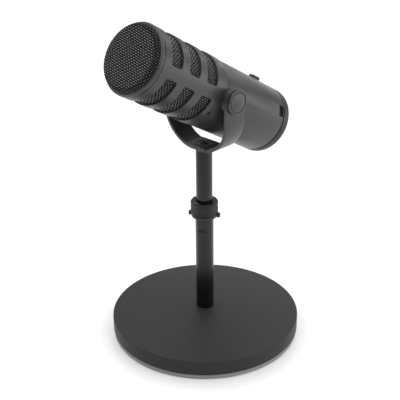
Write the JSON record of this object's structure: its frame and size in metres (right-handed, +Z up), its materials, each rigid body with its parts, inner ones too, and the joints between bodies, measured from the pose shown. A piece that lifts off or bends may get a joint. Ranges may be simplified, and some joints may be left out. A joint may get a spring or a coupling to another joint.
{
  "type": "desktop microphone",
  "caption": "Cylindrical slotted dynamic microphone held in a U-shaped steel yoke on a telescopic tube with a clutch collar and a heavy round desk base.",
  "frame": {"origin": "centre of the stand's underside, on the table", "axes": "+Z up along the stand's tube; the microphone's nose points to -Y and up; +X is the tilt axis towards the near knob"},
  "size_m": [0.1876, 0.2017, 0.3321],
  "materials": {
    "base_coat": "matte black powder coat",
    "pad": "light grey non-slip pad",
    "zinc": "zinc plated",
    "tube_gloss": "gloss black",
    "nylon": "moulded nylon",
    "black_plastic": "satin black moulding",
    "collar_plastic": "black moulding with fine ribs",
    "dark_steel": "blackened steel",
    "yoke_coat": "satin graphite",
    "knob_coat": "satin graphite",
    "body_coat": "satin graphite",
    "brass": "turned",
    "rubber_black": "matte",
    "head_coat": "satin graphite",
    "mesh_steel": "fine dark steel mesh",
    "grille_steel": "woven dark steel wire",
    "foam": "open-cell foam",
    "capsule_alu": "turned",
    "film": "thin clear film",
    "copper": "wound wire",
    "magnet_nickel": "nickel plated",
    "lead_red": "insulated wire",
    "board_green": "solder mask",
    "chip_black": "moulded",
    "panel_black": "matte black",
    "connector_metal": "satin nickel",
    "gold": "plated",
    "switch_black": "matte black with ridges"
  },
  "bodies": {
    "stand": {"base_plate": "base_coat", "base_pad": "pad", "base_bolt": "zinc", "base_washer": "zinc", "foot_plug": "zinc", "lower_tube": "tube_gloss", "clutch_collet": "nylon", "clutch_ear_ring": "black_plastic"},
    "clutch": {"clutch_collar": "collar_plastic"},
    "mast": {"upper_tube": "tube_gloss", "guide_bush": "nylon", "mast_plug": "zinc", "swivel_washer": "black_plastic", "yoke_bolt": "dark_steel"},
    "yoke": {"yoke": "yoke_coat"},
    "mic": {"pivot_spacers": "body_coat", "pivot_inserts": "brass", "friction_washers": "rubber_black", "rear_housing": "body_coat", "head_frame": "head_coat", "side_mesh": "mesh_steel", "front_ring": "head_coat", "front_grille": "grille_steel", "head_foam": "foam", "housing_screws": "dark_steel", "bulkhead": "nylon", "capsule_housing": "capsule_alu", "capsule_cap": "capsule_alu", "diaphragm": "film", "voice_coil": "copper", "magnet": "magnet_nickel", "pole_cup": "zinc", "shock_mounts": "rubber_black", "capsule_leads": "lead_red", "main_board": "board_green", "board_parts": "chip_black", "board_posts": "zinc", "board_screws": "zinc", "rear_ring": "body_coat", "rear_panel": "panel_black", "panel_screws": "dark_steel", "xlr_shell": "connector_metal", "xlr_insert": "black_plastic", "xlr_pins": "gold", "usb_shell": "connector_metal", "usb_tongue": "black_plastic", "headphone_jack": "black_plastic", "mute_bezel": "black_plastic", "mute_switch_body": "chip_black", "lowcut_frame": "black_plastic"},
    "right_knob": {"right_knob": "knob_coat", "right_knob_screw": "zinc"},
    "left_knob": {"left_knob": "knob_coat", "left_knob_screw": "zinc"},
    "mute": {"mute_slider": "switch_black"},
    "lowcut": {"lowcut_slider": "switch_black"}
  },
  "joints": [
    {"name": "mast_slide", "type": "slide", "parent": "stand", "child": "mast", "axis": [0, 0, 1], "range_m": [-0.048, 0.02]},
    {"name": "clutch_turn", "type": "hinge", "parent": "stand", "child": "clutch", "pos_m": [0, 0, 0.1367], "axis": [0, 0, 1], "range_deg": [0, 120]},
    {"name": "yoke_swivel", "type": "hinge", "parent": "mast", "child": "yoke", "pos_m": [0, 0, 0.2017], "axis": [0, 0, 1], "range_deg": [-180, 180]},
    {"name": "mic_tilt", "type": "hinge", "parent": "yoke", "child": "mic", "pos_m": [0, 0, 0.2535], "axis": [1, 0, 0], "range_deg": [-5, 65]},
    {"name": "right_knob_turn", "type": "hinge", "parent": "mic", "child": "right_knob", "pos_m": [0.041, 0, 0.2535], "axis": [1, 0, 0], "range_deg": [0, 360]},
    {"name": "left_knob_turn", "type": "hinge", "parent": "mic", "child": "left_knob", "pos_m": [-0.041, 0, 0.2535], "axis": [-1, 0, 0], "range_deg": [0, 360]},
    {"name": "mute_slide", "type": "slide", "parent": "mic", "child": "mute", "axis": [0, 0.8572, -0.515], "range_m": [0, 0.003]},
    {"name": "lowcut_slide", "type": "slide", "parent": "mic", "child": "lowcut", "axis": [-0.3859, 0.4751, 0.7908], "range_m": [0, 0.003]}
  ]
}
